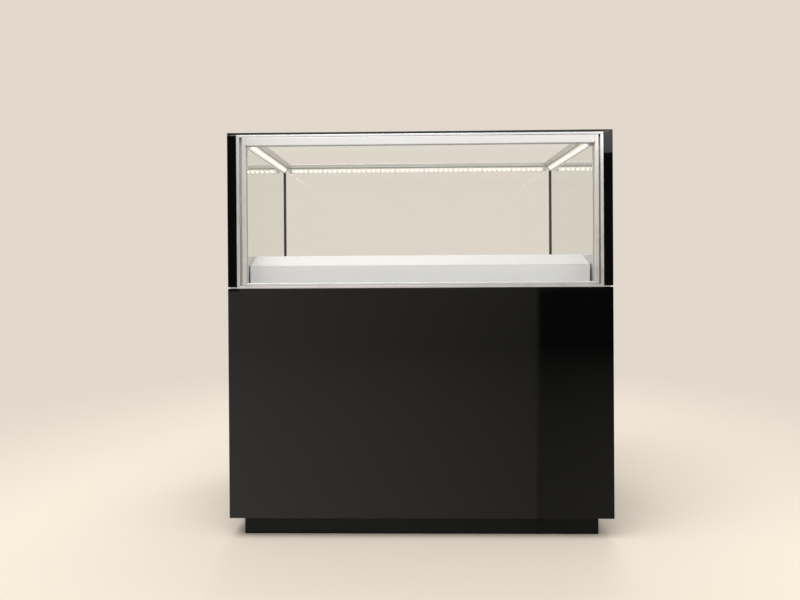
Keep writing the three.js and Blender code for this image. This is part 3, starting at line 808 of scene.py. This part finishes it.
def makeLockBarrel(settings):
    low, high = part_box("lock_cam")
    centre = yAxisOf("lock_housing")
    radius = settings["radius"] * mm
    chamfer = settings["chamfer"] * mm
    slotLong, slotWide = (v * mm for v in settings["keySlot"])
    wideTop, wideFloor = (slotLong / 2 + v * mm for v in settings["recess"])
    floor = high.y - settings["recessDepth"] * mm
    camThick = settings["camThick"] * mm
    camMiddle = low.y + camThick / 2
    profile = [
        (0, camMiddle), (radius, camMiddle), (radius, high.y - chamfer), (radius - chamfer, high.y),
        (wideTop, high.y), (wideFloor, floor), (0, floor),
    ]
    bm = bmesh.new()
    addTurned(bm, profile, centre, (0, 1, 0), settings["steps"])
    slotBack, slotFront = (floor + v * mm for v in settings["slotRise"])
    slotLow = centre + Vector((-slotLong / 2, slotBack, -slotWide / 2))
    addBox(bm, slotLow, centre + Vector((slotLong / 2, slotFront, slotWide / 2)), 1)
    cam = addBox(bm, low, (high.x, low.y + camThick, high.z))
    corners = [e for e in edgesOf(cam) if abs((e.verts[0].co - e.verts[1].co).y) > camThick / 2]
    roundOff(bm, corners, settings["camRound"], settings["camSegments"])
    # The washer that holds the cam on its barrel
    washerLow = centre + Vector((0, low.y - settings["washerProud"] * mm, 0))
    washerHigh = centre + Vector((0, low.y + settings["washerSunk"] * mm, 0))
    addRod(bm, settings["washerRadius"] * mm, washerLow, washerHigh, 0, settings["washerSides"])
    sharpen(bm)
    makePiece("lock_barrel", bm, ("steel", "darkChip"), "lock_cam", ("lock_cam",))


makeLockTube(lockTube)
makeLockBarrel(lockBarrel)
print("lock made")

# I and O on the rocker's two faces, which lie in a shallow V about its pivot
rocker = {
    "pivot": (-0.284, 0.2498, 0.606),  # metres
    "tilt": 7.0,
    "radius": 8.5,
    "lift": 1.5,  # times the rise of a face over half its length
    "reach": 3.95,  # from the pivot's level to the middle of each face
    "raised": 0.07,
    "sunk": 0.1,
    "stroke": 0.55,
    "bar": 3.2,
    "ring": 1.7,
    "ringSteps": 32,
}


def addRockerMark(bm, end, settings):
    # The bar stands on the lower face, where end is -1, and the ring on the upper one
    low = -settings["sunk"] * mm
    top = settings["raised"] * mm
    if end < 0:
        half = settings["stroke"] / 2 * mm
        reach = settings["bar"] / 2 * mm
        addBox(bm, (-half, low, -reach), (half, top, reach))
    else:
        outer = settings["ring"] * mm
        inner = outer - settings["stroke"] * mm
        profile = [(inner, low), (outer, low), (outer, top), (inner, top), (inner, low)]
        addTurned(bm, profile, (0, 0, 0), (0, 1, 0), settings["ringSteps"])
    slope = math.radians(settings["tilt"])
    rise = math.tan(slope) * settings["radius"] * settings["lift"] * mm
    lean = Matrix.Rotation(-end * slope, 4, "X")
    place = Matrix.Translation((0, rise, end * settings["reach"] * mm))
    pressed = Matrix.Rotation(-slope, 4, "X")
    whole = Matrix.Translation(settings["pivot"]) @ pressed @ place @ lean
    bmesh.ops.transform(bm, matrix=whole, verts=bm.verts)


def makeRockerMarks(settings):
    bm = bmesh.new()
    for end in (-1, 1):
        mark = bmesh.new()
        addRockerMark(mark, end, settings)
        carrier = bpy.data.meshes.new("mark")
        mark.to_mesh(carrier)
        mark.free()
        bm.from_mesh(carrier)
        bpy.data.meshes.remove(carrier)
    makePiece("rocker_marks", bm, ("markWhite",), "power_rocker")


inlet = {
    "skin": 0.12,  # how far a contact's plating stands over its solid
    "aside": 14,  # from the inlet's middle to the socket's
    "apart": 7,
    "drop": 3,
    "rise": 5,  # of the middle contact over the outer two
    "size": (2, 4),
    "length": 12,
    "floor": 15,  # the socket's depth
    "arris": 0.35,
}


def makeInletContacts(settings):
    low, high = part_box("power_inlet")
    middleX = (low.x + high.x) / 2 - settings["aside"] * mm
    middleZ = (low.z + high.z) / 2
    floor = high.y - settings["floor"] * mm
    skin = settings["skin"] * mm
    front = floor + settings["length"] * mm + skin
    wide, tall = (v * mm for v in settings["size"])
    bm = bmesh.new()
    for x, rise in ((-settings["apart"], 0), (0, settings["rise"]), (settings["apart"], 0)):
        left = middleX + x * mm - wide / 2
        bottom = middleZ + (rise - settings["drop"]) * mm
        contactHigh = (left + wide + skin, front, bottom + tall + skin)
        contact = addBox(bm, (left - skin, floor, bottom - skin), contactHigh)
        roundOff(bm, edgesOf(contact), settings["arris"])
    makePiece("inlet_contacts", bm, ("steel",), "root")


makeRockerMarks(rocker)
makeInletContacts(inlet)
print("mains inlet details made")

# Light driver: a moulded case with a seam, ribs, a slotted screw in each corner and its lead
driver = {
    "length": 150,
    "edge": 2.2,
    "seam": 0.7,
    "seamOffset": 3,  # from the case's middle
    "seamDepth": 0.5,
    "ribs": 9,
    "ribPitch": 6.0,
    "ribRise": 0.8,
    "ribWidth": 2.2,
    "ribDepth": 1.5,
    "ribInset": 6,
    "ribArris": 0.4,
    "screwInset": (8, 7),
    "screwRadius": (2.3, 1.9),  # at its foot and at its head
    "screwSides": 20,
    "screwSunk": 0.3,
    "screwTop": 0.1,  # below the ribs' tops
    "screwSlot": (2.8, 0.5),
    "slotSkin": 0.05,
    "lead": 3,
    "leadClear": 1,  # between the lead and the case's back
    "leadSides": 20,
    "grip": 5,
    "gripLength": 9,
    "gripSides": 24,
    "overlap": 1,  # how far the lead and its grip go into the case
}
# Slots 0 to 3: case, seam and lead, screws, their slots
driverFinishes = ("paleCase", "leadSkin", "steel", "darkChip")


def cutSeam(bm, low, high, settings):
    for y in (low, high):
        parts = bm.verts[:] + bm.edges[:] + bm.faces[:]
        bmesh.ops.bisect_plane(bm, geom=parts, plane_co=(0, y, 0), plane_no=(0, 1, 0))
    seam = [face for face in bm.faces if low < face.calc_center_median().y < high]
    for face in seam:
        face.material_index = 1
    depth = -settings["seamDepth"] * mm
    bmesh.ops.inset_region(bm, faces=seam, thickness=0, depth=depth, use_even_offset=True)


def addRibs(bm, low, high, middle, settings):
    half = settings["ribWidth"] / 2 * mm
    inset = settings["ribInset"] * mm
    back = low.y + settings["ribDepth"] * mm
    for index in range(settings["ribs"]):
        x = middle.x + (index - (settings["ribs"] - 1) / 2) * settings["ribPitch"] * mm
        rib = addBox(bm, (x - half, low.y, low.z + inset), (x + half, back, high.z - inset))
        roundOff(bm, edgesOf(rib), settings["ribArris"], 1)


def addScrews(bm, low, high, skin, settings):
    insetX, insetZ = (v * mm for v in settings["screwInset"])
    foot, head = (v * mm for v in settings["screwRadius"])
    slotLong, slotWide = (v / 2 * mm for v in settings["screwSlot"])
    start = skin + settings["screwSunk"] * mm
    top = low.y + settings["screwTop"] * mm
    slotSkin = settings["slotSkin"] * mm
    for x in (low.x + insetX, high.x - insetX):
        for z in (low.z + insetZ, high.z - insetZ):
            addRod(bm, foot, (x, start, z), (x, top, z), 2, settings["screwSides"], head)
            slotLow = (x - slotLong, top - slotSkin, z - slotWide)
            addBox(bm, slotLow, (x + slotLong, top + slotSkin, z + slotWide), 3)


def addLeadTail(bm, start, caseLow, high, z, settings):
    radius = settings["lead"] * mm
    y = high.y - radius - settings["leadClear"] * mm
    end = (caseLow.x + settings["overlap"] * mm, y, z)
    addRod(bm, radius, (start, y, z), end, 1, settings["leadSides"])
    gripStart = caseLow.x - settings["gripLength"] * mm
    addRod(bm, settings["grip"] * mm, (gripStart, y, z), end, 1, settings["gripSides"])


def makeDriverCase(settings):
    low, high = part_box("led_driver")
    caseLow = Vector((high.x - settings["length"] * mm, low.y, low.z))
    skinLow = caseLow + Vector((0, settings["ribRise"] * mm, 0))
    middle = (caseLow + high) / 2
    seamStart = (low.y + high.y) / 2 + settings["seamOffset"] * mm
    bm = bmesh.new()
    roundOff(bm, edgesOf(addBox(bm, skinLow, high)), settings["edge"], 3)
    cutSeam(bm, seamStart, seamStart + settings["seam"] * mm, settings)
    addRibs(bm, low, high, middle, settings)
    addScrews(bm, caseLow, high, skinLow.y, settings)
    addLeadTail(bm, low.x, caseLow, high, middle.z, settings)
    makePiece("driver_case", bm, driverFinishes, "root", ("led_driver",))


makeDriverCase(driver)
print("light driver made")

# Stage: a pale seamless floor, cards that paint reflections on the gloss, lamps. Sizes here are in metres.
stageSettings = {
    "backdropTone": (0.76, 0.685, 0.605),
    "worldLight": (0.5, 0.5, 0.485),
    "floorTone": (0.83, 0.755, 0.665),
    "floorRoughness": 0.5,
    "floorRadius": 6.0,
    "floorDrop": 0.0002,
    "floorSides": 96,
    "fade": (1.1, 2.4),
    "lampColour": (1, 0.97, 0.93),
}


def rayShows(tree):
    rays = addNode(tree, "ShaderNodeLightPath").outputs
    seen = addMath(tree, "MAXIMUM", rays["Is Camera Ray"], rays["Is Glossy Ray"])
    return addMath(tree, "MAXIMUM", seen, rays["Is Transmission Ray"])


def makeWorld(settings):
    world = bpy.data.worlds.new("studio")
    world.use_nodes = True
    tree = world.node_tree
    tones = blend(tree, rayShows(tree), settings["worldLight"], settings["backdropTone"])
    tree.links.new(tones, tree.nodes["Background"].inputs["Color"])
    bpy.context.scene.world = world


def makeFloor(settings):
    bm = bmesh.new()
    bmesh.ops.create_circle(
        bm, cap_ends=True, segments=settings["floorSides"], radius=settings["floorRadius"])
    bmesh.ops.translate(bm, vec=(0, 0, -settings["floorDrop"]), verts=bm.verts)
    material, tree, shader = newMaterial("floor", settings["floorTone"], settings["floorRoughness"])
    shader.inputs["Specular IOR Level"].default_value = 0  # a matt floor doesn't mirror the cards
    place = where(tree)
    flat = addNode(tree, "ShaderNodeVectorMath", {0: place}, operation="LENGTH").outputs["Value"]
    far = spread(tree, flat, settings["fade"], (0, 1))
    light = addNode(tree, "ShaderNodeEmission", {"Color": (*settings["backdropTone"], 1)})
    mixSurface(tree, far, shader, light)
    toObject("floor", bm, [material])


# Painted reflections: emission cards in front of the case that only glossy rays see, so only the gloss and
# the metal mirror them; the dark ones paint dark reflections. Four corners, the tone at each, a tint
warm = (1.06, 1.0, 0.92)
cool = (0.96, 0.985, 1.0)
cardCuts = 15
cardLift = 0.0005
passedGlass = 0.5  # a ray that has come through glass has a transparent depth over this
cards = {
    "painted_room_reflection": {
        "corners": ((-1.75, -3.6, 0), (1.0, -3.6, 0), (1.0, -3.6, 0.5), (-1.75, -3.6, 0.5)),
        "tones": (0.66, 0.25, 0.29, 0.66),
        "tint": warm,
    },
    "painted_doorway_reflection": {
        "corners": ((1.0, -3.6, 0), (1.75, -3.6, 0), (1.75, -3.6, 0.5), (1.0, -3.6, 0.5)),
        "tones": (0, 0, 0, 0),
        "tint": warm,
    },
    "painted_window_reflection": {
        "corners": ((-1.3, -3.6, 1.6), (1.3, -3.6, 1.6), (1.3, -3.6, 2.7), (-1.3, -3.6, 2.7)),
        "tones": (1.1, 1.1, 1.2, 1.2),
        "tint": cool,
    },
    "painted_floor_reflection": {
        "corners": ((-1.75, -3.6, 0), (1.0, -3.6, 0), (0.293, -0.25, 0), (-0.62, -0.25, 0)),
        "tones": (0.66, 0.25, 0.46, 0.92),
        "tint": warm,
    },
    "near_shade": {
        "corners": ((1.0, -3.6, 0), (1.75, -3.6, 0), (0.62, -0.25, 0), (0.293, -0.25, 0)),
        "tones": (0, 0, 0.36, 0.3),
        "tint": warm,
    },
    "left_painted_dark_reflection": {
        "corners": (
            (-0.604, -0.575, 0.63), (-0.556, -0.575, 0.63), (-0.556, -0.575, 1.14), (-0.604, -0.575, 1.14)),
        "tones": (0.03, 0.03, 0.03, 0.03),
        "tint": warm,
    },
    "right_painted_dark_reflection": {
        "corners": (
            (0.567, -0.575, 0.63), (0.612, -0.575, 0.63), (0.612, -0.575, 1.05), (0.567, -0.575, 1.05)),
        "tones": (0.03, 0.03, 0.03, 0.03),
        "tint": warm,
    },
    "right_glint": {
        "corners": (
            (0.567, -0.575, 1.052), (0.612, -0.575, 1.052), (0.612, -0.575, 1.14), (0.567, -0.575, 1.14)),
        "tones": (1.6, 1.6, 2.4, 2.4),
        "tint": cool,
    },
}


def makeCard(name, settings):
    bm = bmesh.new()
    layer = bm.verts.layers.float.new("tone")
    placed = [bm.verts.new(corner) for corner in settings["corners"]]
    for vert, tone in zip(placed, settings["tones"]):
        vert[layer] = tone
    bm.faces.new(placed)
    bmesh.ops.subdivide_edges(bm, edges=bm.edges[:], cuts=cardCuts, use_grid_fill=True)
    bmesh.ops.translate(bm, vec=(0, 0, cardLift), verts=bm.verts)
    material, tree = newBareMaterial(name)
    tone = addNode(tree, "ShaderNodeAttribute", attribute_name="tone").outputs["Fac"]
    light = addNode(tree, "ShaderNodeEmission", {"Color": (*settings["tint"], 1), "Strength": tone})
    # A card is for the outer gloss alone: a ray that has come through glass passes it
    passed = addNode(tree, "ShaderNodeLightPath").outputs["Transparent Depth"]
    throughGlass = addMath(tree, "GREATER_THAN", passed, passedGlass)
    mixSurface(tree, throughGlass, light, addNode(tree, "ShaderNodeBsdfTransparent"))
    card = toObject(name, bm, [material])
    for ray in ("camera", "diffuse", "transmission", "shadow", "volume_scatter"):
        setattr(card, f"visible_{ray}", False)


lamps = {
    "key": {"place": (-0.9, -1.5, 3.6), "aim": (0, 0, 0.5), "size": (3.0, 2.4), "power": 88},
    "fill": {"place": (2.6, -2.2, 2.4), "aim": (0, 0, 0.6), "size": (3.0, 3.0), "power": 28},
    "rear": {"place": (0.4, 1.8, 3.4), "aim": (0, 0, 0.5), "size": (2.8, 2.2), "power": 50},
}


def makeLamp(name, settings):
    data = bpy.data.lights.new(name, "AREA")
    data.shape = "RECTANGLE"
    data.size, data.size_y = settings["size"]
    data.energy = settings["power"]
    data.color = stageSettings["lampColour"]
    lamp = bpy.data.objects.new(name, data)
    lamp.location = settings["place"]
    aim = Vector(settings["aim"]) - Vector(settings["place"])
    lamp.rotation_euler = aim.to_track_quat("-Z", "Y").to_euler()
    bpy.context.scene.collection.objects.link(lamp)


makeWorld(stageSettings)
makeFloor(stageSettings)
for name, settings in cards.items():
    makeCard(name, settings)
for name, settings in lamps.items():
    makeLamp(name, settings)
print("stage set")

bpy.context.scene.view_settings.view_transform = "Standard"
